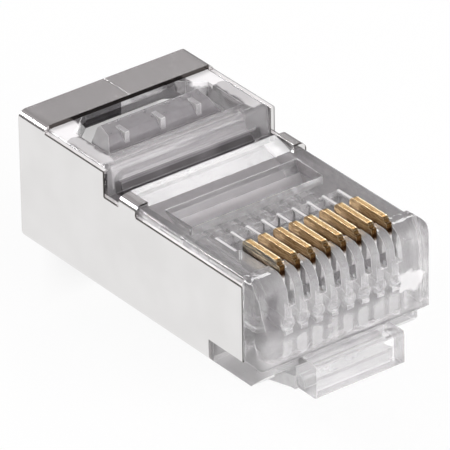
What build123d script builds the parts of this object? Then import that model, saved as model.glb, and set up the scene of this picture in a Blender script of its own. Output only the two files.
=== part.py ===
from build123d import *
import math
import os

# Shielded eight-way modular plug, before crimping. Millimetres.
# X runs across the plug, Y from the nose towards the cable, Z up to the contact side.
# The origin is the middle of the nose's lower front edge.

# Overall sizes
plug_width = 11.50
plug_length = 21.50
rear_height = 7.93

# Shield sheet
sheet = 0.25
sheet_gap = 0.02
bend_radius = 0.50
shield_front = 1.62
shield_floor_front = 4.65
shield_corner_notch = 1.45
wall_top_nose = 6.03
wall_rear_drop = 0.36
wall_step_lead = 0.10
strap_length = 2.35
strap_seam = 0.03
tab_lead = 2.13
tab_width = 1.50
tab_reach = 0.84
tab_bend = 0.50

# Housing outside
nose_top = 6.40
cap_rise = 0.12
cap_rear = 1.90
nose_corner = 0.60
nose_top_round = 1.10
nose_lean = 0.40
nose_lean_from = 3.40
nose_lean_round = 3.00
nose_edge_round = 0.35
nose_side_edge_round = 0.30
side_round = 0.20
nose_bottom = 1.38
lip_half = 5.45
lip_front = 0.55
lip_corner = 0.70
lip_ramp_top = 0.75
lip_ramp_rear = 1.35
rear_length = 7.65
riser_lean = 0.18
riser_round = 0.30
housing_rear_setback = 0.20

# Ridge and groove across the top, in front of the riser
groove_length = 1.25
groove_depth = 0.50
ridge_length = 1.65
ridge_rise = 0.22
ridge_end_gap = 0.08

# Contacts
ways = 8
pitch = 1.02
blade = 0.35
blade_front = 1.00
blade_rear = 4.20
blade_top = 7.08
blade_height = 3.00
crimp_travel = 1.06
blade_nose_round = 0.50
blade_heel_round = 0.15
blade_tail_round = 0.32
blade_notch = 0.13
point_height = 1.00
point_width = 0.56
point_gap = 1.50

# Slots that guide the contacts
slot_side_gap = 0.05
slot_front_gap = 0.15
slot_rear_gap = 0.10
slot_point_gap = 0.10
slot_mouth_floor = 4.80
pocket_width = 0.72
pocket_floor = 5.00
pocket_rear = 5.97
pocket_bevel = 0.16

# Wire channels and cable cavity
channel_bore = 0.92
channel_z = 3.50
channel_front = 0.66
cavity_width = 8.80
cavity_floor = 1.15
cavity_roof = 1.38
cavity_lead = 0.95
cavity_funnel = 2.30
cavity_roof_run = 1.70
cavity_step = 0.60
cavity_corner = 0.60
cavity_floor_round = 0.50
cavity_roof_round = 0.40
throat_width = 8.20
throat_length = 1.70
throat_floor = 2.90
throat_ceiling = 4.40
mouth_chamfer = 0.45

# Recess in the top of the nose, as shares of the flat between the pockets and the ridge
recess_half = 4.38
recess_start_share = 0.3614
recess_length_share = 0.4659
recess_slope_share = 0.39
recess_deep = 1.50
recess_shallow = 0.35
recess_front_round = 0.20
recess_slope_round = 0.30

# Window over the cable cavity, in front of the strap and a little way under it
window_half = 4.50
window_reach = 4.20
window_corner_reach = 1.10
window_under_strap = 0.50
window_rear_half = 2.60
ledge_drop = 0.88
ledge_web = 0.26
ledge_front_web = 0.40

# Strain relief bar in the window: its hinge, then lengths back from the hinge
hinge_reach = 3.20
hinge_nose = 0.13
hinge_gap = 0.05
bar_half = 3.75
bar_end_taper = 0.48
bar_crease_run = 0.55
bar_crease_drop = 0.21
bar_heel_run = 0.65
bar_ridge_run = 1.35
bar_rear_run = 1.60
bar_height = 1.58
bar_chamfer = 0.15
bar_foot_round = 0.10
bar_toe_round = 0.15
bar_ridge_round = 0.10
bar_crease_round = 0.20
bar_ribs = 3
bar_rib_pitch = 2.42
bar_rib_width = 0.30
bar_rib_rise = 0.11
bar_rib_run = 0.17

# Latch
latch_width = 5.90
latch_block_front = 1.05
latch_block_bottom = 0.65
latch_block_round = 0.20
latch_axis_y = 0.72
latch_axis_z = -0.47
latch_knuckle = 0.42
latch_knuckle_gap = 0.05
latch_cheek = 0.45
latch_neck_gap = 0.12
latch_slope = 13.4
latch_bend_y = 1.12
latch_bend_round = 0.60
latch_shoulder_y = 8.20
latch_shoulder_length = 1.90
latch_shoulder_ramp = 1.30
latch_shoulder_rise = 0.45
latch_heel_round = 0.12
latch_crest_round = 0.10
latch_ramp_round = 0.80
latch_end_y = 13.80
latch_tab_width = 3.25
latch_tab_thick = 1.05
latch_corner = 0.35

# Sizes that follow from those above
half_width = plug_width / 2
cap_top = nose_top + cap_rise
core_half = half_width - sheet - sheet_gap
core_bottom = sheet + sheet_gap
core_round = bend_radius - sheet
rear_top = rear_height - sheet - sheet_gap
riser_y = plug_length - rear_length
housing_rear = plug_length - housing_rear_setback
latch_half = latch_width / 2
latch_neck_half = latch_half - latch_cheek - latch_knuckle_gap
strap_front = plug_length - strap_length
wall_step_y = riser_y - wall_step_lead
wall_top_rear = rear_height - wall_rear_drop
ridge_rear = riser_y - groove_length
ridge_front = ridge_rear - ridge_length
cavity_ceiling = rear_height - cavity_roof
cavity_front = riser_y - cavity_lead
throat_rear = cavity_front - cavity_funnel
channel_rear = throat_rear - throat_length
flat_length = ridge_front - pocket_rear
recess_front = pocket_rear + recess_start_share * flat_length
recess_length = recess_length_share * flat_length
recess_rear = recess_front + recess_length
window_front = strap_front - window_reach
window_corner_y = strap_front - window_corner_reach
window_rear = strap_front + window_under_strap
ledge_top = rear_height - ledge_drop
hinge_y = strap_front - hinge_reach
bar_crease_y = hinge_y + bar_crease_run
bar_crease_z = rear_height - bar_crease_drop
bar_ridge_y = hinge_y + bar_ridge_run
bar_rear_y = hinge_y + bar_rear_run
bar_bottom = rear_height - bar_height
slot_width = blade + 2 * slot_side_gap
slot_front = blade_front - slot_front_gap
slot_rear = blade_rear + slot_rear_gap
blade_bottom = blade_top - blade_height
blade_shoulder = blade_bottom + point_height
slot_floor = blade_bottom - crimp_travel - slot_point_gap
hinge_z = ledge_top - hinge_nose
contact_x = [(i - (ways - 1) / 2) * pitch for i in range(ways)]

# A cut or a blank runs this far past what it meets
past = 1.0


def side_prism(points, half, radii=0):
    """A closed Y-Z outline, rounded at its corners, carried across X from -half to +half."""
    line = FilletPolyline(*points, radius=radii, close=True)
    face = make_face(Plane.YZ * line)
    return extrude(face, amount=half, both=True)


def plan_prism(points, bottom, top, radii=0):
    """A closed X-Y outline, rounded at its corners, carried up from bottom to top."""
    line = FilletPolyline(*points, radius=radii, close=True)
    face = make_face(Plane.XY.offset(bottom) * line)
    return extrude(face, amount=top - bottom)


def end_prism(points, front, rear, radii=0):
    """A closed X-Z outline, rounded at its corners, carried along Y from front to rear."""
    line = FilletPolyline(*points, radius=radii, close=True)
    face = make_face(Plane.XZ.offset(-front) * line)
    return extrude(face, amount=front - rear)


def block(x0, x1, y0, y1, z0, z1):
    """A plain box between two corners."""
    middle = Pos((x0 + x1) / 2, (y0 + y1) / 2, (z0 + z1) / 2)
    return middle * Box(x1 - x0, y1 - y0, z1 - z0)


def rectangle(half, low, high):
    """The four corners of an outline that is symmetric about the plug's middle."""
    return [(-half, low), (half, low), (half, high), (-half, high)]


def nose_cap():
    """The full-width front of the nose: it leans back a little and all its edges are round."""
    shoulder = shield_front - sheet_gap
    plan = plan_prism(
        rectangle(half_width, 0, shoulder),
        nose_bottom,
        cap_top,
        [nose_corner, nose_corner, 0, 0],
    )
    collar = block(-core_half, core_half, shoulder, cap_rear, nose_bottom, cap_top)
    side = side_prism(
        [
            (0, nose_bottom),
            (cap_rear, nose_bottom),
            (cap_rear, cap_top),
            (nose_lean, cap_top),
            (0, nose_lean_from),
        ],
        half_width,
        [nose_edge_round, 0, 0, nose_top_round, nose_lean_round],
    )
    front = end_prism(
        rectangle(half_width, nose_bottom, cap_top),
        0,
        cap_rear,
        [nose_side_edge_round, nose_side_edge_round, 2 * side_round, 2 * side_round],
    )
    return (plan + collar) & side & front


def nose_body():
    """The nose behind its cap, between the shield walls."""
    return end_prism(
        rectangle(core_half, nose_bottom, nose_top),
        shield_front - sheet_gap,
        riser_y,
        [0, 0, side_round, side_round],
    )


def bottom_plate():
    """The plate below the nose: a bare lip in front, then the floor that the shield wraps."""
    bare_end = shield_floor_front - sheet_gap
    lip = plan_prism(
        rectangle(lip_half, lip_front, bare_end),
        0,
        nose_bottom,
        [lip_corner, lip_corner, 0, 0],
    )
    ramp = side_prism(
        [
            (lip_front, lip_ramp_top),
            (lip_ramp_rear, 0),
            (bare_end, 0),
            (bare_end, nose_bottom),
            (lip_front, nose_bottom),
        ],
        lip_half,
    )
    floor = end_prism(
        rectangle(core_half, core_bottom, nose_bottom),
        bare_end,
        riser_y,
        [core_round, core_round, 0, 0],
    )
    return (lip & ramp) + floor


def rear_body():
    """The taller rear that the cable enters."""
    section = end_prism(
        rectangle(core_half, core_bottom, rear_top),
        riser_y,
        housing_rear,
        core_round,
    )
    side = side_prism(
        [
            (riser_y, core_bottom),
            (housing_rear, core_bottom),
            (housing_rear, rear_top),
            (riser_y + riser_lean, rear_top),
            (riser_y, nose_top - groove_depth),
        ],
        core_half,
        [0, 0, 0, riser_round, 0],
    )
    return section & side


def ridge():
    """The low ramp across the top between the two shield tabs."""
    return side_prism(
        [
            (ridge_front, nose_top - ridge_rise),
            (ridge_rear, nose_top - ridge_rise),
            (ridge_rear, nose_top + ridge_rise),
            (ridge_front, nose_top),
        ],
        half_width - tab_reach - ridge_end_gap,
    )


def groove():
    """The groove between the ramp and the riser."""
    floor = nose_top - groove_depth
    return block(-core_half, core_half, ridge_rear, riser_y, floor, nose_top + ridge_rise)


def cable_cavity():
    """The hollow for the jacket, narrowing to the eight wire channels."""
    side = side_prism(
        [
            (channel_rear, throat_floor),
            (throat_rear, throat_floor),
            (cavity_front, cavity_floor),
            (plug_length, cavity_floor),
            (plug_length, cavity_ceiling),
            (cavity_front + cavity_roof_run, cavity_ceiling),
            (cavity_front, throat_ceiling + cavity_step),
            (throat_rear, throat_ceiling),
            (channel_rear, throat_ceiling),
        ],
        cavity_width / 2,
        [
            0,
            cavity_floor_round,
            cavity_floor_round,
            0,
            0,
            cavity_roof_round,
            cavity_roof_round,
            cavity_floor_round,
            0,
        ],
    )
    half = cavity_width / 2
    throat = throat_width / 2
    plan = plan_prism(
        [
            (-throat, channel_rear),
            (throat, channel_rear),
            (throat, throat_rear),
            (half, cavity_front),
            (half, plug_length),
            (-half, plug_length),
            (-half, cavity_front),
            (-throat, throat_rear),
        ],
        0,
        rear_height,
    )
    section = end_prism(
        rectangle(half, cavity_floor, cavity_ceiling),
        channel_rear,
        plug_length,
        cavity_corner,
    )
    return side & plan & section


def cable_mouth():
    """The lead-in chamfer round the cable entry."""
    middle = Pos(0, (cavity_floor + cavity_ceiling) / 2)
    height = cavity_ceiling - cavity_floor
    inner = Plane.XZ.offset(mouth_chamfer - housing_rear)
    outer = Plane.XZ.offset(-housing_rear)
    small = inner * middle * RectangleRounded(cavity_width, height, cavity_corner)
    large = outer * middle * RectangleRounded(
        cavity_width + 2 * mouth_chamfer,
        height + 2 * mouth_chamfer,
        cavity_corner + mouth_chamfer / 2,
    )
    return loft([small, large])


def wire_channels():
    """Eight round bores in a row, one under each contact, with a domed blind end in front."""
    radius = channel_bore / 2
    dome_y = channel_front + radius
    length = channel_rear + past - dome_y
    run = Pos(0, dome_y + length / 2, channel_z) * Rot(90, 0, 0) * Cylinder(radius, length)
    bore = run + Pos(0, dome_y, channel_z) * Sphere(radius)
    return [Pos(x, 0, 0) * bore for x in contact_x]


def contact_slots():
    """Eight slots, open on top and in front, each with a wider pocket behind its contact."""
    above = cap_top + past
    guide = side_prism(
        [
            (-past, slot_mouth_floor),
            (slot_front, slot_mouth_floor),
            (slot_front, slot_floor),
            (slot_rear, slot_floor),
            (slot_rear, above),
            (-past, above),
        ],
        slot_width / 2,
    )
    pocket = side_prism(
        [
            (slot_rear - slot_rear_gap / 2, pocket_floor),
            (pocket_rear - pocket_bevel, pocket_floor),
            (pocket_rear - pocket_bevel, nose_top - pocket_bevel),
            (pocket_rear, nose_top),
            (pocket_rear, above),
            (slot_rear - slot_rear_gap / 2, above),
        ],
        pocket_width / 2,
    )
    slot = guide + pocket
    return [Pos(x, 0, 0) * slot for x in contact_x]


def top_recess():
    """The recess in the top of the nose, with its floor falling towards the front."""
    return side_prism(
        [
            (recess_front, nose_top - recess_deep),
            (recess_rear - recess_slope_share * recess_length, nose_top - recess_deep),
            (recess_rear, nose_top - recess_shallow),
            (recess_rear, nose_top + past),
            (recess_front, nose_top + past),
        ],
        recess_half,
        [recess_front_round, recess_slope_round, 0, 0, 0],
    )


def cable_window():
    """The window over the cable cavity, with a thin ledge that the bar hinges behind."""
    seat = hinge_y - hinge_nose - hinge_gap
    through = plan_prism(
        [
            (-window_half, seat),
            (window_half, seat),
            (window_half, window_corner_y),
            (window_rear_half, window_rear),
            (-window_rear_half, window_rear),
            (-window_half, window_corner_y),
        ],
        cavity_ceiling - past,
        rear_top + past,
    )
    over_ledge = block(
        -window_half, window_half, window_front, seat + past, ledge_top, rear_top + past
    )
    under_ledge = block(
        -window_half,
        window_half,
        window_front + ledge_front_web,
        seat + past,
        cavity_ceiling - past,
        ledge_top - ledge_web,
    )
    return [through, over_ledge, under_ledge]


def latch_root():
    """The block under the nose that the latch hangs from, with a socket between two cheeks."""
    solid = side_prism(
        [
            (-latch_block_front, -latch_block_bottom),
            (latch_axis_y, -latch_block_bottom),
            (latch_axis_y, nose_bottom),
            (-latch_block_front, nose_bottom),
        ],
        latch_half,
        [latch_block_round, 0, 0, latch_block_round],
    )
    reach = latch_knuckle + latch_knuckle_gap
    half = latch_half - latch_cheek
    socket = Pos(0, latch_axis_y, latch_axis_z) * Rot(0, 90, 0) * Cylinder(reach, 2 * half)
    below = block(
        -half, half, latch_axis_y - reach / 2, latch_axis_y + past, -past, latch_axis_z
    )
    return solid - socket - below


def make_housing():
    body = nose_cap() + nose_body() + bottom_plate() + rear_body()
    body = body - groove() + ridge()
    body = body - cable_cavity() - cable_mouth()
    body = body - wire_channels() - contact_slots()
    body = body - top_recess() - cable_window()
    return body + latch_root()


def shield_ring():
    """The sheet's closed section, bent round the floor and over the top."""
    outer = end_prism(
        rectangle(half_width, 0, rear_height),
        shield_front,
        plug_length,
        bend_radius,
    )
    inner = end_prism(
        rectangle(half_width - sheet, sheet, rear_height - sheet),
        shield_front - past,
        plug_length + past,
        bend_radius - sheet,
    )
    return outer - inner


def shield_tab():
    """One tab: up from the wall's edge, bent over the plastic's edge, then flat."""
    top = nose_top + sheet_gap + sheet
    middle = riser_y - tab_lead
    outer = end_prism(
        [
            (half_width - tab_reach, wall_top_nose - past),
            (half_width, wall_top_nose - past),
            (half_width, top),
            (half_width - tab_reach, top),
        ],
        middle - tab_width / 2,
        middle + tab_width / 2,
        [0, 0, tab_bend, 0],
    )
    inner = end_prism(
        rectangle(half_width - sheet, wall_top_nose - 2 * past, top - sheet),
        shield_front,
        plug_length,
        [0, 0, tab_bend - sheet, 0],
    )
    return outer - inner


def make_shield():
    wide = half_width + past
    above = rear_height + past
    cuts = [
        block(-wide, wide, 0, strap_front, wall_top_rear, above),
        block(-wide, wide, 0, wall_step_y, wall_top_nose, above),
        block(-wide, wide, 0, shield_floor_front, -past, shield_corner_notch),
        block(
            -strap_seam / 2,
            strap_seam / 2,
            strap_front - past,
            plug_length + past,
            rear_height - 2 * sheet,
            above,
        ),
    ]
    tab = shield_tab()
    return shield_ring() - cuts + tab + mirror(tab, about=Plane.YZ)


def make_contact(x):
    """One stamped blade: rounded nose with a small notch, flat top, two piercing points."""
    middle = (blade_front + blade_rear) / 2
    first = middle - point_gap / 2
    last = middle + point_gap / 2
    half = point_width / 2
    outline = [
        (blade_front, blade_shoulder),
        (first - half, blade_shoulder),
        (first, blade_bottom),
        (first + half, blade_shoulder),
        (last - half, blade_shoulder),
        (last, blade_bottom),
        (last + half, blade_shoulder),
        (blade_rear, blade_shoulder),
        (blade_rear, blade_top),
        (blade_front, blade_top),
    ]
    radii = [blade_heel_round] + [0] * 7 + [blade_tail_round, blade_nose_round]
    body = side_prism(outline, blade / 2, radii)
    inset = blade_nose_round * (1 - math.sqrt(0.5))
    notch = Rot(0, 90, 0) * Cylinder(blade_notch, 2 * blade)
    place = Pos(0, blade_front + inset, blade_top - inset)
    return Pos(x, 0, 0) * (body - place * notch)


def latch_underside(y):
    """The height of the latch's underside, at a distance y from the nose."""
    fall = math.tan(math.radians(latch_slope)) * (y - latch_bend_y)
    return latch_axis_z - latch_knuckle - fall


def latch_arm(half, front):
    """The sloping arm with its locking shoulders, from a given distance behind the nose."""
    thick = 2 * latch_knuckle
    crest = latch_shoulder_y - latch_shoulder_length
    foot = crest - latch_shoulder_ramp
    arm = side_prism(
        [
            (latch_axis_y, latch_axis_z - latch_knuckle),
            (latch_bend_y, latch_axis_z - latch_knuckle),
            (latch_shoulder_y, latch_underside(latch_shoulder_y)),
            (latch_shoulder_y, latch_underside(latch_shoulder_y) + thick + latch_shoulder_rise),
            (crest, latch_underside(crest) + thick + latch_shoulder_rise),
            (foot, latch_underside(foot) + thick),
            (latch_axis_y, latch_axis_z + latch_knuckle),
        ],
        half,
        [
            0,
            latch_bend_round,
            latch_heel_round,
            latch_crest_round,
            latch_ramp_round,
            latch_ramp_round,
            0,
        ],
    )
    return arm - block(-half, half, 0, front, latch_axis_z - past, latch_axis_z + past)


def make_latch():
    """The lever under the nose: knuckle, neck, spring arm, locking shoulders and finger tab."""
    knuckle = Rot(0, 90, 0) * Cylinder(latch_knuckle, 2 * latch_neck_half)
    tab_front = latch_shoulder_y - past
    neck = latch_arm(latch_neck_half, latch_axis_y)
    arm = latch_arm(latch_half, latch_axis_y + latch_neck_gap)
    tab = side_prism(
        [
            (tab_front, latch_underside(tab_front)),
            (latch_end_y, latch_underside(latch_end_y)),
            (latch_end_y, latch_underside(latch_end_y) + latch_tab_thick),
            (tab_front, latch_underside(tab_front) + latch_tab_thick),
        ],
        latch_tab_width / 2,
        [0, latch_corner, latch_corner, 0],
    )
    return Pos(0, latch_axis_y, latch_axis_z) * knuckle + neck + arm + tab


def bar_rib():
    """One upright rib on the bar's front, a little higher than the crease behind it."""
    return block(
        -bar_rib_width / 2,
        bar_rib_width / 2,
        hinge_y + bar_rib_run,
        (bar_crease_y + bar_ridge_y) / 2,
        ledge_top,
        bar_crease_z + bar_rib_rise,
    )


def make_strain_relief_bar():
    """A wedge across the window: hinge in front, ribs and ridge on top, heel on the jacket."""
    section = side_prism(
        [
            (hinge_y, hinge_z - hinge_nose),
            (hinge_y + bar_heel_run, bar_bottom),
            (bar_rear_y, bar_bottom),
            (bar_rear_y, rear_height - bar_chamfer),
            (bar_rear_y - bar_chamfer, rear_height),
            (bar_ridge_y, rear_height),
            (bar_crease_y, bar_crease_z),
            (hinge_y, hinge_z + hinge_nose),
        ],
        bar_half,
        [
            0,
            bar_foot_round,
            bar_toe_round,
            0,
            0,
            bar_ridge_round,
            bar_crease_round,
            0,
        ],
    )
    nose = Pos(0, hinge_y, hinge_z) * Rot(0, 90, 0) * Cylinder(hinge_nose, 2 * bar_half)
    ends = end_prism(
        [
            (-bar_half, bar_bottom),
            (bar_half, bar_bottom),
            (bar_half, ledge_top),
            (bar_half - bar_end_taper, rear_height),
            (-bar_half + bar_end_taper, rear_height),
            (-bar_half, ledge_top),
        ],
        hinge_y - past,
        bar_rear_y,
    )
    bar = (section + nose) & ends
    for i in range(bar_ribs):
        bar += Pos((i - (bar_ribs - 1) / 2) * bar_rib_pitch, 0, 0) * bar_rib()
    return bar


def main():
    os.makedirs("parts", exist_ok=True)
    export_step(make_housing(), "parts/housing.step")
    export_step(make_shield(), "parts/shield.step")
    export_step(make_latch(), "parts/latch.step")
    export_step(make_strain_relief_bar(), "parts/strain_relief_bar.step")
    for number, x in enumerate(contact_x, start=1):
        export_step(make_contact(x), f"parts/contact_{number}.step")


main()
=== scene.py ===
import math

import bpy
from mathutils import Matrix, Vector


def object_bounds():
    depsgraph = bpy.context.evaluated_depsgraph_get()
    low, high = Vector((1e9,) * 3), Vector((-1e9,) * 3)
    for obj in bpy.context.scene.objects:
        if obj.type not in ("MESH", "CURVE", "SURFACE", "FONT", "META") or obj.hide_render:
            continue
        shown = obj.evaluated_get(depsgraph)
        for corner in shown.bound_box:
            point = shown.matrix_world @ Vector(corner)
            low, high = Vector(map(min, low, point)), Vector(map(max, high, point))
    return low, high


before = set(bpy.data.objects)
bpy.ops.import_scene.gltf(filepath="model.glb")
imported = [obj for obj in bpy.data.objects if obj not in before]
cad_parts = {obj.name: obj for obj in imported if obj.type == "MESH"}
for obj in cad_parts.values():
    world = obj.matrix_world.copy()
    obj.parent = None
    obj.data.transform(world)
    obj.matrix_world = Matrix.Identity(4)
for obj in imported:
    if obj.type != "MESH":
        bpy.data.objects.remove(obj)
cad_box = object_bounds()

MM = 0.001

# The photograph's view: a long lens from the front left, looking down, very slightly rolled
VIEW_TURN = 36.793
VIEW_RISE = 30.093
VIEW_ROLL = -0.953
VIEW_TARGET = (-0.529 * MM, 10.0 * MM, 4.116 * MM)
VIEW_DISTANCE = 393.387 * MM
FOCAL_PIXELS = 7352.719
IMAGE_PIXELS = 450
SENSOR = 36.0
CLIP_NEAR = 0.01
CLIP_FAR = 10.0

# The room's brightness by height, towards the wall that the flat top mirrors, and by how far
# a direction looks to the front
SKY_STRENGTH = 3.0
SKY_TINT = (1.0, 0.95, 0.965)
SKY_BY_HEIGHT = ((0.0, 0.03), (0.10, 0.06), (0.28, 0.30), (0.6, 0.28), (1.0, 0.20))
GREY_WALL = (0.519, 0.693, 0.5)
SKY_BY_WALL = ((0.80, 1.0), (0.94, 0.77), (1.0, 0.73))
SKY_BY_FRONT = ((0.0, 0.55), (0.5, 0.6), (1.0, 1.0))

# Soft boxes: name, place, width and height in metres, power in watts, and whether metal and
# plastic mirror it
SOFT_BOXES = (
    ("rear_left", (-0.40, 0.52, 0.40), (0.18, 0.18), 2.0, True),
    ("rear_right_strip", (0.36, 0.40, 0.475), (0.16, 0.16), 0.6, True),
    ("front", (0.10, -0.65, 0.20), (0.50, 0.30), 6.0, False),
    ("top", (0.05, -0.10, 0.75), (0.55, 0.55), 0.6, True),
)

FLOOR_SIZE = 1.2
FLOOR_DROP = 0.02 * MM
FLOOR_COLOUR = 0.86
FLOOR_GLOW = 0.92

# The soft band of shadow on the floor, in millimetres behind the plug's rear. It drifts to the
# right as it goes back, and fades out at both ends and sides.
PLUG_REAR = cad_box[1][1] / MM
SHADOW_COLOUR = 0.35
SHADOW_STRENGTH = 0.8
SHADOW_DRIFT = 0.75
SHADOW_CENTRE = 0.7
SHADOW_HALF = 5.4
SHADOW_ACROSS = ((0.45, 1.0), (1.0, 0.0))
SHADOW_BEHIND = ((-1.5, 0.0), (2.0, 0.35), (10.5, 0.8), (13.5, 1.0), (16.5, 0.0))

WHITE = (1.0, 1.0, 1.0)

# The sockets of a colour mix node, and how soft the sides of a crisp mark are, in millimetres
MIX_FIRST = 6
MIX_SECOND = 7
MIX_RESULT = 2
CRISP = 0.02

# Plastic: its colours
PALE_PLASTIC = (0.99, 0.985, 0.99)
# Painted shade: the greys that the plastic is painted towards its closed rear
REAR_SHADE_GREY = (0.84, 0.822, 0.836)
DEEP_SHADE_GREY = (0.74, 0.725, 0.737)
SHADED_PLASTIC = (0.40, 0.385, 0.40)
# Painted shade in the groove in front of the riser, unevenly dark
GROOVE_SHADE_DARK = (0.17, 0.16, 0.165)
GROOVE_SHADE_LIGHT = (0.36, 0.345, 0.355)
NOSE_MOTTLE = (0.84, 0.825, 0.84)
# Painted shade on the recess's left side
RECESS_SIDE_SHADE = (0.60, 0.585, 0.60)
STRAP_SHADE = (0.05, 0.047, 0.05)
# Painted shade over the nose's left block
LEFT_BLOCK_SHADE = (0.54, 0.52, 0.54)
TEETH_GREY = (0.72, 0.705, 0.725)
# Painted light along the ridge: a painted highlight in the middle, painted shade at the ends
RIDGE_LIGHT_BY_X = (
    (-5.0, (0.66, 0.65, 0.66)),
    (-2.0, (0.90, 0.89, 0.90)),
    (1.0, (0.86, 0.85, 0.86)),
    (5.0, (0.58, 0.57, 0.58)),
)

# Plastic: its zones, as ranges in millimetres of X, Y and Z
CAVITY_BOXES = (
    ((-4.6, 4.6), (8.0, 22.0), (0.9, 5.7)),
    ((-4.6, 4.6), (13.9, 22.0), (0.9, 6.6)),
)
WIRE_BORES = ((-4.2, 4.2), (0.5, 9.0), (2.8, 4.9))
COMB = ((-4.6, 4.6), (-1.0, 2.2), (3.6, 7.4))
NOSE = ((-6.0, 6.0), (-0.5, 1.9), (1.3, 6.6))
NOSE_LOWER_FRONT = ((-4.6, 4.4), (-0.5, 0.6), (1.7, 3.3))
NOSE_LEFT_BLOCK = ((-5.4, -4.3), (-0.5, 1.9), (3.7, 5.9))
POCKET_WALL_TOPS = ((-4.2, 4.2), (4.3, 6.1), (6.3, 6.45))
RECESS_FRONT = ((-4.3, 4.3), (7.6, 8.0), (5.0, 6.2))
RECESS_FLOOR = ((-3.9, 3.9), (8.0, 10.0), (4.8, 6.4))
RECESS_LEFT_SIDE = ((-4.5, -4.3), (7.7, 10.1), (5.0, 6.5))
RIDGE = ((-5.2, 5.2), (10.9, 12.6), (6.2, 6.8))
GROOVE = ((-4.9, 4.9), (12.55, 14.2), (5.0, 6.58))
RISER = ((-5.3, 5.3), (13.7, 15.0), (6.5, 7.8))
LEDGE = ((-4.7, 4.7), (13.7, 16.2), (6.5, 7.8))
BAR_RIBS = ((-3.0, 3.0), (16.05, 17.0), (7.05, 7.86))
UNDER_STRAP = ((-4.3, -0.2), (18.9, 20.2), (6.5, 7.62))
LIP = ((-5.6, 5.6), (0.4, 4.66), (-0.1, 1.36))

# Painted highlights on the nose, white patches that stand for light seen through it: each a box,
# the softness of its sides and a strength
NOSE_GLINTS = (
    (((3.4, 5.1), (-0.5, 0.6), (2.9, 4.1)), 0.2, 0.8),
    (((4.3, 5.9), (-0.5, 1.2), (1.4, 6.4)), 0.3, 0.22),
    (((-5.9, -4.4), (-0.5, 0.8), (1.4, 3.4)), 0.3, 0.25),
)
# Painted highlights beside the window, white patches the same on both sides of the plug
WINDOW_GLINTS = (
    (((3.7, 5.5), (17.5, 19.6), (7.3, 8.0)), 0.15, 1.0),
    (((4.55, 5.5), (14.2, 18.5), (7.3, 8.0)), 0.2, 0.6),
)
CONTACT_PITCH = 1.02
BAR_RIB_PITCH = 2.42

# Sheet: its colours, and where it shows a thin dark line, as ranges in millimetres of |X|, Y
# and Z. The dark lines are painted shade in the gaps along its edges, and the strap's dark seam.
SHEET_DARK = (0.745, 0.735, 0.730)
SHEET_LIGHT = (0.79, 0.780, 0.776)
SHEET_EDGE_SHADE = (0.10, 0.09, 0.085)
SHEET_CUT = (1.0, 0.99, 0.99)
SHEET_SHADE_LINES = (
    ((-1.0, 5.40), (19.00, 19.18), (7.60, 7.99)),
    ((5.69, 5.80), (13.70, 19.10), (7.49, 7.60)),
    ((5.69, 5.80), (13.70, 13.83), (6.00, 7.60)),
    ((5.69, 5.80), (12.50, 13.80), (5.95, 6.05)),
    ((5.69, 5.80), (1.60, 10.95), (5.95, 6.05)),
    ((5.69, 5.80), (1.60, 1.70), (1.40, 6.05)),
    ((4.85, 5.80), (10.90, 11.00), (6.57, 6.80)),
    ((5.66, 5.80), (10.90, 11.00), (6.03, 6.60)),
    ((4.85, 5.80), (12.45, 12.50), (6.57, 6.80)),
    ((-1.0, 0.03), (19.00, 21.60), (7.60, 7.92)),
)
# Its cut faces along the tops of the walls
SHEET_CUT_FACES = (
    ((5.45, 5.70), (13.80, 19.10), (7.54, 7.60)),
    ((5.45, 5.70), (12.50, 13.76), (6.00, 6.06)),
    ((5.45, 5.70), (1.60, 10.95), (6.00, 6.06)),
)

# Contacts: the colours of a blade's top, flank, rims and bare lower part
TOP_GOLD = ((0.3, (0.30, 0.18, 0.075)), (0.7, (0.46, 0.31, 0.14)))
# Painted reflection: the flank is painted lighter than the top, for the pale plastic that it
# mirrors
FLANK_GOLD = ((0.3, (0.40, 0.24, 0.10)), (0.7, (0.80, 0.56, 0.29)))
FLANK_STAIN = (0.22, 0.13, 0.06)
# Painted reflection: the first blade's outer flank is painted dark
OUTER_FLANK_SHADE = ((0.42, (0.05, 0.04, 0.03)), (0.62, (0.50, 0.40, 0.26)))
# Painted highlights: the bright rim along the right of a blade's top, and its edges
RIM_HIGHLIGHT = (1.0, 0.90, 0.66)
EDGE_HIGHLIGHT = (0.98, 0.84, 0.58)
BARE_METAL = (0.92, 0.92, 0.93)

# Contacts: what changes along a blade, by lengths in millimetres
BLADE_SHADE_BY_Y = ((1.0, (0.34, 0.27, 0.20)), (1.7, WHITE))
BLADE_SHADE_BY_Z = (
    (6.0, (0.80, 0.79, 0.78)),
    (6.3, (0.26, 0.18, 0.11)),
    (6.5, (0.30, 0.21, 0.13)),
    (6.7, WHITE),
)
BARE_BY_Z = ((6.0, 1.0), (6.3, 0.0))
METAL_BY_Z = ((6.0, 0.35), (6.3, 1.0))
RIM_FROM_Z = 7.0
OUTER_FLANK_X = -3.7


def rgba(colour):
    """A colour or a grey with its alpha."""
    return (*colour, 1.0) if isinstance(colour, tuple) else (colour,) * 3 + (1.0,)


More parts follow.
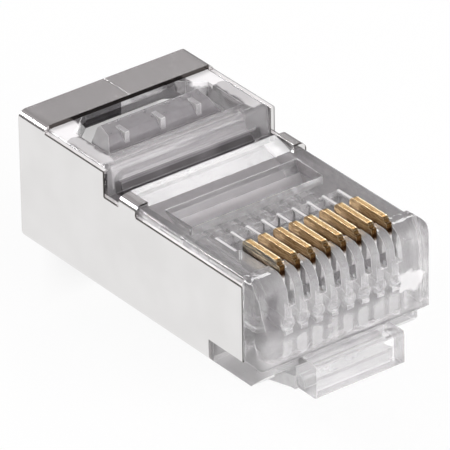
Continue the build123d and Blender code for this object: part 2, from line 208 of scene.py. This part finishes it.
class Graph:
    """A node tree, with short calls for the nodes that this scene uses. A value is a socket,
    a number or a colour."""

    def __init__(self, owner):
        owner.use_nodes = True
        self.tree = owner.node_tree

    def node(self, kind, **settings):
        made = self.tree.nodes.new(kind)
        for name, value in settings.items():
            setattr(made, name, value)
        return made

    def link(self, source, target):
        self.tree.links.new(source, target)

    def split(self, vector):
        made = self.node("ShaderNodeSeparateXYZ")
        self.link(vector, made.inputs[0])
        return made.outputs

    def math(self, operation, *values):
        made = self.node("ShaderNodeMath", operation=operation)
        for value, socket in zip(values, made.inputs):
            if isinstance(value, (int, float)):
                socket.default_value = value
            else:
                self.link(value, socket)
        return made.outputs[0]

    def times(self, first, second):
        return self.math("MULTIPLY", first, second)

    def rest_of(self, share):
        """What is left of one."""
        return self.math("SUBTRACT", 1.0, share)

    def largest(self, first, *others):
        for other in others:
            first = self.math("MAXIMUM", first, other)
        return first

    def ramp(self, value, stops):
        """A colour ramp from (position, grey or colour) stops."""
        made = self.node("ShaderNodeValToRGB")
        elements = made.color_ramp.elements
        while len(elements) < len(stops):
            elements.new(0.5)
        for element, (position, colour) in zip(elements, stops):
            element.position = position
            element.color = rgba(colour)
        self.link(value, made.inputs["Fac"])
        return made.outputs["Color"]

    def ramp_mm(self, value, stops):
        """A colour ramp along a length, whose stops are in millimetres."""
        low = stops[0][0]
        span = stops[-1][0] - low
        share = self.math("DIVIDE", self.math("SUBTRACT", value, low), span)
        return self.ramp(share, [((place - low) / span, colour) for place, colour in stops])

    def mix(self, kind, first, second):
        made = self.node("ShaderNodeMix", data_type="RGBA", blend_type=kind)
        for value, number in ((first, MIX_FIRST), (second, MIX_SECOND)):
            socket = made.inputs[number]
            if isinstance(value, (int, float, tuple)):
                socket.default_value = rgba(value)
            else:
                self.link(value, socket)
        return made

    def blend(self, share, first, second):
        """From the first colour to the second, as far as the share says."""
        made = self.mix("MIX", first, second)
        self.link(share, made.inputs["Factor"])
        return made.outputs[MIX_RESULT]

    def shade(self, first, second):
        """One colour multiplied by the other."""
        made = self.mix("MULTIPLY", first, second)
        made.inputs["Factor"].default_value = 1.0
        return made.outputs[MIX_RESULT]


class Finish(Graph):
    """A new material's node tree, round its Principled shader."""

    def __init__(self, name):
        self.material = bpy.data.materials.new(name)
        super().__init__(self.material)
        self.shader = self.tree.nodes["Principled BSDF"]
        self.output = self.tree.nodes["Material Output"]

    def feed(self, name, source):
        self.link(source, self.shader.inputs[name])

    def set(self, **values):
        for name, value in values.items():
            self.shader.inputs[name.replace("_", " ")].default_value = value

    def place_mm(self, stretch=(1, 1, 1)):
        """The object's own coordinates in millimetres, stretched along each axis."""
        coords = self.node("ShaderNodeTexCoord")
        mapping = self.node("ShaderNodeMapping")
        mapping.inputs["Scale"].default_value = [s / MM for s in stretch]
        self.link(coords.outputs["Object"], mapping.inputs["Vector"])
        return mapping.outputs["Vector"]

    def mirrored(self, place):
        """The place without its minus signs, so that the left half is marked like the right."""
        made = self.node("ShaderNodeVectorMath", operation="ABSOLUTE")
        self.link(place, made.inputs[0])
        return made.outputs[0]

    def noise_node(self, place, scale, detail, roughness):
        made = self.node("ShaderNodeTexNoise")
        made.inputs["Scale"].default_value = scale
        made.inputs["Detail"].default_value = detail
        made.inputs["Roughness"].default_value = roughness
        self.link(place, made.inputs["Vector"])
        return made

    def noise(self, place, scale, detail=2.0, roughness=0.5):
        return self.noise_node(place, scale, detail, roughness).outputs["Fac"]

    def warp(self, place, amount):
        """The place pushed about by a noise, so that what follows has uneven outlines."""
        noise = self.noise_node(place, 1.2, 2.0, 0.5)
        moved = self.node("ShaderNodeVectorMath", operation="MULTIPLY_ADD")
        moved.inputs[1].default_value = (amount, amount, amount)
        self.link(noise.outputs["Color"], moved.inputs[0])
        self.link(place, moved.inputs[2])
        centred = self.node("ShaderNodeVectorMath", operation="SUBTRACT")
        self.link(moved.outputs[0], centred.inputs[0])
        centred.inputs[1].default_value = (amount / 2, amount / 2, amount / 2)
        return centred.outputs[0]

    def box_mask(self, place, box, soft=CRISP):
        """One inside a box, given as ranges in millimetres along X, Y and Z, with soft sides."""
        mask = 1.0
        for value, (low, high) in zip(self.split(place), box):
            for larger, smaller in ((value, low), (high, value)):
                depth = self.math("DIVIDE", self.math("SUBTRACT", larger, smaller), soft)
                depth.node.use_clamp = True
                mask = self.times(mask, depth)
        return mask

    def boxes_mask(self, place, boxes):
        """One inside any of the boxes."""
        return self.largest(0.0, *[self.box_mask(place, box) for box in boxes])

    def patches_mask(self, place, patches):
        """Patches of a box, the softness of its sides and a strength, the strongest on top."""
        masks = [self.times(self.box_mask(place, box, soft), strength)
                 for box, soft, strength in patches]
        return self.largest(*masks)

    def sideways(self):
        """One where the surface faces left or right, zero where it faces another way."""
        geometry = self.node("ShaderNodeNewGeometry")
        return self.math("ABSOLUTE", self.split(geometry.outputs["True Normal"])[0])

    def soft_normal(self, radius):
        """The surface's direction with every edge rounded over by the given radius."""
        made = self.node("ShaderNodeBevel", samples=4)
        made.inputs["Radius"].default_value = radius
        return made.outputs["Normal"]

    def edge_mask(self, radius):
        """One along the edges and zero on flats, from how far the rounded direction turns."""
        geometry = self.node("ShaderNodeNewGeometry")
        dot = self.node("ShaderNodeVectorMath", operation="DOT_PRODUCT")
        self.link(self.soft_normal(radius), dot.inputs[0])
        self.link(geometry.outputs["True Normal"], dot.inputs[1])
        turned = self.rest_of(dot.outputs["Value"])
        return self.ramp(turned, [(0.03, 0.0), (0.16, 1.0)])

    def bump(self, height, distance, strength, below):
        made = self.node("ShaderNodeBump")
        made.inputs["Distance"].default_value = distance
        made.inputs["Strength"].default_value = strength
        self.link(height, made.inputs["Height"])
        self.link(below, made.inputs["Normal"])
        return made.outputs["Normal"]


class ClearPolycarbonate(Finish):
    """Clear moulded plastic: polished outside, matt in its cores, milkier with more frost.
    It is painted greyer towards the closed rear as shade, carries painted highlights and painted
    shade in places, and its edges scatter light in pale lines."""

    def __init__(self, name, frost, rear_shade, deep_shade, side_light=None):
        super().__init__(name)
        self.place = self.place_mm()
        self.x, self.y, _ = self.split(self.place)
        self.find_zones()
        self.find_pale_marks()
        self.set(IOR=1.5)
        self.feed("Base Color", self.colour(rear_shade, deep_shade, side_light))
        polish = self.noise(self.place, 2.2, 3.0)
        self.feed("Transmission Weight", self.clearness(polish, frost))
        self.feed("Roughness", self.roughness(polish, frost))
        self.feed("Normal", self.relief())

    def zone(self, box, soft=CRISP):
        return self.box_mask(self.place, box, soft)

    def find_zones(self):
        self.cavity = self.boxes_mask(self.place, CAVITY_BOXES)
        self.nose = self.zone(NOSE)
        self.ridge = self.zone(RIDGE)
        self.edges = self.edge_mask(0.065 * MM)

    def find_pale_marks(self):
        """The bright marks: between the contacts, low on the nose, in the recess, on the bar's
        ribs and beside the window. Those low on the nose, on the ribs and beside the window are
        painted highlights.
        Their outlines are uneven where the real ones are."""
        self.uneven = self.warp(self.place, 0.9)
        both_sides = self.warp(self.mirrored(self.place), 0.6)
        self.from_wall = self.math("PINGPONG", self.math("DIVIDE", self.x, CONTACT_PITCH), 0.5)
        from_rib = self.math("PINGPONG", self.math("DIVIDE", self.x, BAR_RIB_PITCH), 0.5)
        on_wall = self.math("LESS_THAN", self.from_wall, 0.09)
        self.wall_tops = self.times(on_wall, self.zone(POCKET_WALL_TOPS))
        lower_front = self.box_mask(self.uneven, NOSE_LOWER_FRONT, 0.4)
        # Painted highlights low on the nose: pale pads under each way and white patches, for
        # light seen through the plastic
        nose_glints = self.times(self.ramp(self.from_wall, [(0.25, 0.45), (0.5, 0.1)]), lower_front)
        nose_glints = self.largest(nose_glints, self.patches_mask(self.uneven, NOSE_GLINTS))
        cloud = self.ramp(self.noise(self.place, 0.4, 1.0), [(0.35, 0.0), (0.80, 0.28)])
        haze = self.times(cloud, self.zone(RECESS_FLOOR, 0.4))
        self.haze_and_glints = self.largest(nose_glints, haze)
        # Painted highlights on the tops of the bar's ribs
        on_rib = self.math("LESS_THAN", from_rib, 0.066)
        self.ribs = self.times(on_rib, self.times(self.zone(BAR_RIBS), 0.5))
        # Painted highlights beside the window
        self.window_glints = self.patches_mask(both_sides, WINDOW_GLINTS)

    def colour(self, rear_shade, deep_shade, side_light):
        # Painted shade: greyer towards the closed rear
        tint = self.ramp_mm(self.y, [
            (7.6, PALE_PLASTIC), (10.4, rear_shade), (13.6, rear_shade), (14.4, deep_shade)])
        # Painted light: faces that look left or right are painted paler
        if side_light:
            beside = self.ramp(self.sideways(), [(0.4, 0.0), (0.6, 1.0)])
            tint = self.blend(beside, tint, side_light)
        # Painted shade in the groove
        drift = self.ramp(self.noise(self.place, 0.35, 1.0), [(0.35, 0.0), (0.65, 1.0)])
        tint = self.blend(self.zone(GROOVE), tint, self.blend(drift, GROOVE_SHADE_DARK, GROOVE_SHADE_LIGHT))
        # Painted shade on the recess's left side
        tint = self.blend(self.zone(RECESS_LEFT_SIDE), tint, RECESS_SIDE_SHADE)
        # Painted highlight and painted shade along the ridge
        tint = self.blend(self.ridge, tint, self.ramp_mm(self.x, RIDGE_LIGHT_BY_X))
        tint = self.blend(self.zone(UNDER_STRAP), tint, STRAP_SHADE)
        blotch = self.ramp(self.noise(self.place, 0.9, 3.0, 0.6), [(0.40, 0.0), (0.60, 1.0)])
        tint = self.blend(self.nose, tint, self.blend(blotch, NOSE_MOTTLE, WHITE))
        # Painted shade over the nose's left block
        left_block_shade = self.box_mask(self.uneven, NOSE_LEFT_BLOCK, 0.25)
        tint = self.blend(left_block_shade, tint, LEFT_BLOCK_SHADE)
        between = self.ramp(self.from_wall, [(0.18, 0.0), (0.32, 1.0)])
        teeth = self.times(between, self.zone(RECESS_FRONT, 0.1))
        tint = self.blend(teeth, tint, TEETH_GREY)
        # The pale marks, among them the painted highlights
        pale = self.largest(self.edges, self.wall_tops, self.haze_and_glints, self.ribs, self.window_glints)
        return self.blend(pale, tint, PALE_PLASTIC)

    def clearness(self, polish, frost):
        clear = self.ramp(polish, [(0.3, 0.93 - frost), (0.75, 0.86 - frost)])
        clear = self.blend(self.cavity, clear, 0.55)
        clear = self.blend(self.zone(COMB, 0.9), clear, 0.80)
        clear = self.blend(self.largest(self.haze_and_glints, self.times(self.zone(LIP), 0.3)), clear, 0.5)
        clear = self.blend(self.window_glints, clear, 0.1)
        return self.blend(self.largest(self.edges, self.wall_tops), clear, 0.3)

    def roughness(self, polish, frost):
        rough = self.ramp(polish, [(0.35, 0.05 + 0.3 * frost), (0.7, 0.12 + 0.4 * frost)])
        rough = self.blend(self.largest(self.zone(WIRE_BORES), self.zone(RISER)), rough, 0.24)
        return self.blend(self.cavity, rough, 0.6)

    def relief(self):
        """Slow waves of the moulding, calmer on the ridge and the ledge, and a finer sparkle on
        the nose."""
        calm = self.times(self.largest(self.ridge, self.zone(LEDGE)), 0.85)
        waves = self.times(self.noise(self.place, 0.8, 2.0), self.rest_of(calm))
        flow = self.bump(waves, 0.012 * MM, 1.0, self.soft_normal(0.06 * MM))
        sparkle = self.times(self.noise(self.place, 1.1, 2.0), self.nose)
        return self.bump(sparkle, 0.07 * MM, 1.0, flow)


def plated_sheet():
    """Bright plated sheet with a fine rolled grain along the plug. Its cut faces are pale, with a
    thin dark line of painted shade where they meet the outside, and a dark seam along the strap."""
    g = Finish("plated_sheet")
    place = g.place_mm()
    grain = g.noise(g.place_mm((6.0, 0.25, 6.0)), 3.0, 4.0, 0.6)
    # Painted shade in the gaps along its edges, and the strap's dark seam
    dark = g.boxes_mask(g.mirrored(place), SHEET_SHADE_LINES)
    pale = g.boxes_mask(g.mirrored(place), SHEET_CUT_FACES)
    tint = g.ramp(g.noise(place, 0.35, 2.0), [(0.3, SHEET_DARK), (0.75, SHEET_LIGHT)])
    tint = g.blend(pale, tint, SHEET_CUT)
    g.feed("Base Color", g.blend(dark, tint, SHEET_EDGE_SHADE))
    g.feed("Metallic", g.rest_of(g.times(pale, 0.6)))
    g.feed("Roughness", g.ramp(grain, [(0.3, 0.10), (0.75, 0.17)]))
    g.feed("Normal", g.bump(grain, 0.0006 * MM, 0.5, g.soft_normal(0.02 * MM)))
    return g.material


def gilt_contact():
    """A stamped blade, gold where it is touched and bare grey below: drawn streaks, a bright rim
    along the right of its top and bright edges as painted highlights, painted shade at its front
    ends, a flank painted lighter than its top as a painted reflection, and a dark outer flank on
    the first blade as a painted reflection."""
    g = Finish("gilt_contact")
    x, y, z = g.split(g.place_mm())
    streak = g.noise(g.place_mm((2.0, 0.2, 3.0)), 3.0, 3.0, 0.55)
    fleck = g.noise(g.place_mm((2.5, 0.3, 2.5)), 6.0, 3.0, 0.6)
    beside = g.ramp(g.sideways(), [(0.4, 0.0), (0.7, 1.0)])

    across = g.math("FRACT", g.math("DIVIDE", x, CONTACT_PITCH))
    # Painted highlight: a bright rim along the right of the top
    rim = g.ramp(across, [(0.595, 0.0), (0.625, 1.0)])
    rim = g.times(rim, g.math("GREATER_THAN", z, RIM_FROM_Z))
    top = g.blend(rim, g.ramp(fleck, TOP_GOLD), RIM_HIGHLIGHT)
    stain = g.ramp(fleck, [(0.5, 0.0), (0.7, 0.5)])
    # Painted reflection: the flank is painted lighter than the top
    flank = g.blend(stain, g.ramp(streak, FLANK_GOLD), FLANK_STAIN)
    skin = g.blend(beside, top, flank)
    skin = g.shade(skin, g.ramp_mm(y, BLADE_SHADE_BY_Y))
    # Painted reflection: the first blade's outer flank is painted dark
    outer = g.times(beside, g.math("LESS_THAN", x, OUTER_FLANK_X))
    skin = g.blend(outer, skin, g.ramp(streak, OUTER_FLANK_SHADE))
    # Painted highlight along the edges
    skin = g.blend(g.times(g.edge_mask(0.05 * MM), 0.6), skin, EDGE_HIGHLIGHT)
    skin = g.blend(g.ramp_mm(z, BARE_BY_Z), skin, BARE_METAL)
    g.feed("Base Color", g.shade(skin, g.ramp_mm(z, BLADE_SHADE_BY_Z)))

    plain = g.rest_of(g.times(beside, 0.5))
    g.feed("Metallic", g.times(plain, g.ramp_mm(z, METAL_BY_Z)))
    g.feed("Roughness", g.ramp(fleck, [(0.3, 0.22), (0.7, 0.32)]))
    g.feed("Normal", g.bump(streak, 0.0004 * MM, 0.5, g.soft_normal(0.05 * MM)))
    return g.material


def dress(name, material):
    """Puts one material on every slot of a CAD node."""
    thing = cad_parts[name]
    if not thing.material_slots:
        thing.data.materials.append(material)
    for slot in thing.material_slots:
        slot.material = material


def dress_nodes():
    clear = ClearPolycarbonate(
        "clear_polycarbonate", frost=0.04, rear_shade=REAR_SHADE_GREY, deep_shade=DEEP_SHADE_GREY)
    frosted = ClearPolycarbonate(
        "frosted_polycarbonate", frost=0.3, rear_shade=SHADED_PLASTIC,
        deep_shade=SHADED_PLASTIC, side_light=PALE_PLASTIC)
    plated = plated_sheet()
    gilt = gilt_contact()
    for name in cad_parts:
        if name.startswith("contact_"):
            dress(name, gilt)
        elif name == "shield":
            dress(name, plated)
        elif name == "housing":
            dress(name, clear.material)
        else:
            dress(name, frosted.material)


def make_camera():
    """The photograph's camera, turned, raised and rolled about the middle of the plug."""
    turn = math.radians(VIEW_TURN)
    rise = math.radians(VIEW_RISE)
    roll = math.radians(VIEW_ROLL)
    back = Vector((
        -math.sin(turn) * math.cos(rise),
        -math.cos(turn) * math.cos(rise),
        math.sin(rise),
    ))
    level = (-back).cross(Vector((0, 0, 1))).normalized()
    upright = level.cross(-back)
    right = level * math.cos(roll) + upright * math.sin(roll)
    up = upright * math.cos(roll) - level * math.sin(roll)
    data = bpy.data.cameras.new("camera")
    data.sensor_width = SENSOR
    data.lens = FOCAL_PIXELS * SENSOR / IMAGE_PIXELS
    data.clip_start = CLIP_NEAR
    data.clip_end = CLIP_FAR
    camera = bpy.data.objects.new("camera", data)
    spot = Vector(VIEW_TARGET) + back * VIEW_DISTANCE
    turned = Matrix((right, up, back)).transposed().to_4x4()
    camera.matrix_world = Matrix.Translation(spot) @ turned
    bpy.context.collection.objects.link(camera)
    bpy.context.scene.camera = camera


def floor_shadow(g):
    """One in the middle of the soft band behind the plug, zero outside it."""
    x, y, _ = g.split(g.place_mm())
    behind = g.math("SUBTRACT", y, PLUG_REAR)
    drift = g.times(behind, SHADOW_DRIFT)
    aside = g.math("SUBTRACT", g.math("SUBTRACT", x, drift), SHADOW_CENTRE)
    across = g.math("ABSOLUTE", g.math("DIVIDE", aside, SHADOW_HALF))
    return g.times(g.ramp(across, SHADOW_ACROSS), g.ramp_mm(behind, SHADOW_BEHIND))


def make_floor():
    """A pale floor: white to the camera and to metal and glass, still taking the shadow."""
    low = cad_box[0][2] - FLOOR_DROP
    half = FLOOR_SIZE / 2
    mesh = bpy.data.meshes.new("floor")
    corners = [(-half, -half, low), (half, -half, low), (half, half, low), (-half, half, low)]
    mesh.from_pydata(corners, [], [(0, 1, 2, 3)])
    floor = bpy.data.objects.new("floor", mesh)
    bpy.context.collection.objects.link(floor)

    g = Finish("floor")
    g.set(Roughness=1.0, Specular_IOR_Level=0.0)
    shadow = floor_shadow(g)
    g.feed("Base Color", g.blend(shadow, FLOOR_COLOUR, SHADOW_COLOUR))
    rays = g.node("ShaderNodeLightPath").outputs
    shown = g.largest(rays["Is Camera Ray"], rays["Is Transmission Ray"], rays["Is Glossy Ray"])
    lit = g.rest_of(g.times(shadow, SHADOW_STRENGTH))
    glow = g.node("ShaderNodeEmission")
    glow.inputs["Color"].default_value = rgba(WHITE)
    surface = g.node("ShaderNodeMixShader")
    g.link(g.times(g.times(shown, lit), FLOOR_GLOW), surface.inputs["Fac"])
    g.link(g.shader.outputs[0], surface.inputs[1])
    g.link(glow.outputs[0], surface.inputs[2])
    g.link(surface.outputs[0], g.output.inputs["Surface"])
    mesh.materials.append(g.material)


def make_world():
    """A plain studio room: white to the camera, dark at the horizon, brightest in front, and
    greyer towards the rear right, where the flat top's reflection looks."""
    world = bpy.data.worlds.new("studio")
    bpy.context.scene.world = world
    g = Graph(world)
    direction = g.node("ShaderNodeTexCoord").outputs["Generated"]
    _, back, up = g.split(direction)
    tinted = [(height, tuple(grey * part for part in SKY_TINT)) for height, grey in SKY_BY_HEIGHT]
    towards = g.node("ShaderNodeVectorMath", operation="DOT_PRODUCT")
    towards.inputs[1].default_value = GREY_WALL
    g.link(direction, towards.inputs[0])
    sky = g.shade(g.ramp(up, tinted), g.ramp(towards.outputs["Value"], SKY_BY_WALL))
    ahead = g.math("MULTIPLY_ADD", back, -0.5, 0.5)
    sky = g.shade(sky, g.ramp(ahead, SKY_BY_FRONT))

    room = g.tree.nodes["Background"]
    room.inputs["Strength"].default_value = SKY_STRENGTH
    g.link(sky, room.inputs["Color"])
    white = g.node("ShaderNodeBackground")
    white.inputs["Color"].default_value = rgba(WHITE)
    surface = g.node("ShaderNodeMixShader")
    g.link(g.node("ShaderNodeLightPath").outputs["Is Camera Ray"], surface.inputs["Fac"])
    g.link(room.outputs[0], surface.inputs[1])
    g.link(white.outputs[0], surface.inputs[2])
    g.link(surface.outputs[0], g.tree.nodes["World Output"].inputs["Surface"])


def make_soft_box(name, spot, size, power, mirrored):
    """An area lamp that faces the plug."""
    data = bpy.data.lights.new(name, "AREA")
    data.shape = "RECTANGLE"
    data.size, data.size_y = size
    data.energy = power
    light = bpy.data.objects.new(name, data)
    aim = Vector(VIEW_TARGET) - Vector(spot)
    turned = aim.to_track_quat("-Z", "Y").to_matrix().to_4x4()
    light.matrix_world = Matrix.Translation(spot) @ turned
    light.visible_glossy = mirrored
    bpy.context.collection.objects.link(light)


dress_nodes()
make_camera()
make_floor()
make_world()
for soft_box in SOFT_BOXES:
    make_soft_box(*soft_box)
bpy.context.scene.view_settings.view_transform = "Standard"
